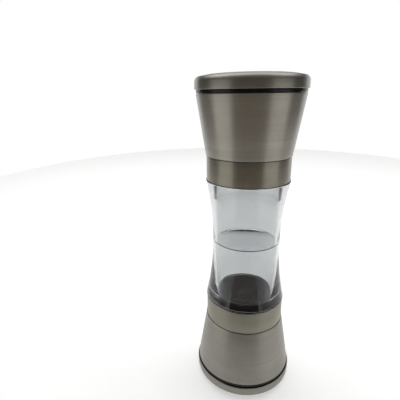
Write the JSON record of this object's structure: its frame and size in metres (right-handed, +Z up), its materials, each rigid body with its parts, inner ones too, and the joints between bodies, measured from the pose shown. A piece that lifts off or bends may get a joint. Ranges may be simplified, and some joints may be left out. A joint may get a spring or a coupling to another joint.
{
  "type": "double-ended pepper mill",
  "caption": "Double-ended hand mill: a clear hourglass jar with a flared steel grinding head, screw collar and pull-off lid at each end.",
  "frame": {"origin": "centre of the lower lid's flat resting face", "axes": "+Z up along the mill's own axis, from the lower lid to the upper lid; X and Y are free about it"},
  "size_m": [0.064, 0.064, 0.2],
  "materials": {
    "steel": "satin, brushed round the axis",
    "bright_steel": "bright drawn",
    "black_plastic": "fine moulded satin",
    "ceramic": "unglazed, sintered",
    "silicone": "translucent matt",
    "clear_acrylic": "clear, polished"
  },
  "bodies": {
    "lower_lid": {"lower_lid_shell": "steel", "lower_lid_liner": "black_plastic"},
    "lower_head": {"lower_skirt_shell": "steel", "lower_grinder_housing": "black_plastic", "lower_outlet_plate": "black_plastic", "lower_burr_retainer": "black_plastic", "lower_outer_burr": "ceramic"},
    "lower_base": {"lower_carrier": "black_plastic", "lower_screw_ring": "black_plastic", "lower_collar_band": "steel", "lower_retaining_clip": "bright_steel", "lower_shaft": "bright_steel", "lower_spring": "bright_steel"},
    "lower_rotor": {"lower_burr_hub": "black_plastic", "lower_inner_burr": "ceramic"},
    "lower_knob": {"lower_adjuster_knob": "black_plastic"},
    "lower_gasket": {"lower_jar_gasket": "silicone"},
    "upper_lid": {"upper_lid_shell": "steel", "upper_lid_liner": "black_plastic"},
    "upper_head": {"upper_skirt_shell": "steel", "upper_grinder_housing": "black_plastic", "upper_outlet_plate": "black_plastic", "upper_burr_retainer": "black_plastic", "upper_outer_burr": "ceramic"},
    "upper_base": {"upper_carrier": "black_plastic", "upper_screw_ring": "black_plastic", "upper_collar_band": "steel", "upper_retaining_clip": "bright_steel", "upper_shaft": "bright_steel", "upper_spring": "bright_steel"},
    "upper_rotor": {"upper_burr_hub": "black_plastic", "upper_inner_burr": "ceramic"},
    "upper_knob": {"upper_adjuster_knob": "black_plastic"},
    "upper_gasket": {"upper_jar_gasket": "silicone"},
    "jar": {"jar": "clear_acrylic"}
  },
  "joints": [
    {"name": "lower_lid_pull", "type": "slide", "parent": "lower_lid", "child": "lower_head", "axis": [0, 0, 1], "range_m": [0, 0.04]},
    {"name": "lower_grind", "type": "hinge", "parent": "lower_head", "child": "lower_base", "pos_m": [0, 0, 0.04], "axis": [0, 0, 1], "continuous": true},
    {"name": "lower_rotor_travel", "type": "slide", "parent": "lower_base", "child": "lower_rotor", "axis": [0, 0, 1], "range_m": [0, 0.0012], "deforming": ["lower_spring"]},
    {"name": "lower_knob_turn", "type": "hinge", "parent": "lower_rotor", "child": "lower_knob", "pos_m": [0, 0, 0.016], "axis": [0, 0, 1], "range_deg": [0, 541]},
    {"name": "lower_jar_lift", "type": "slide", "parent": "lower_base", "child": "lower_gasket", "axis": [0, 0, 1], "range_m": [0, 0.01201]},
    {"name": "lower_jar_unscrew", "type": "hinge", "parent": "lower_gasket", "child": "jar", "pos_m": [0, 0, 0.05], "axis": [0, 0, 1], "range_deg": [0, 1080]},
    {"name": "upper_jar_lift", "type": "slide", "parent": "jar", "child": "upper_gasket", "axis": [0, 0, 1], "range_m": [0, 0.01201]},
    {"name": "upper_jar_unscrew", "type": "hinge", "parent": "upper_gasket", "child": "upper_base", "pos_m": [0, 0, 0.15], "axis": [0, 0, 1], "range_deg": [0, 1080]},
    {"name": "upper_grind", "type": "hinge", "parent": "upper_base", "child": "upper_head", "pos_m": [0, 0, 0.16], "axis": [0, 0, 1], "continuous": true},
    {"name": "upper_lid_pull", "type": "slide", "parent": "upper_head", "child": "upper_lid", "axis": [0, 0, 1], "range_m": [0, 0.04]},
    {"name": "upper_rotor_travel", "type": "slide", "parent": "upper_base", "child": "upper_rotor", "axis": [0, 0, -1], "range_m": [0, 0.0012], "deforming": ["upper_spring"]},
    {"name": "upper_knob_turn", "type": "hinge", "parent": "upper_rotor", "child": "upper_knob", "pos_m": [0, 0, 0.184], "axis": [0, 0, -1], "range_deg": [0, 541]}
  ],
  "couplings": [
    {"joint": "lower_knob_turn", "follows": "lower_rotor_travel", "rad_per_m": 7854},
    {"joint": "lower_jar_lift", "follows": "lower_jar_unscrew", "m_per_rad": 0.00063662},
    {"joint": "upper_knob_turn", "follows": "upper_rotor_travel", "rad_per_m": 7854},
    {"joint": "upper_jar_lift", "follows": "upper_jar_unscrew", "m_per_rad": 0.00063662}
  ]
}
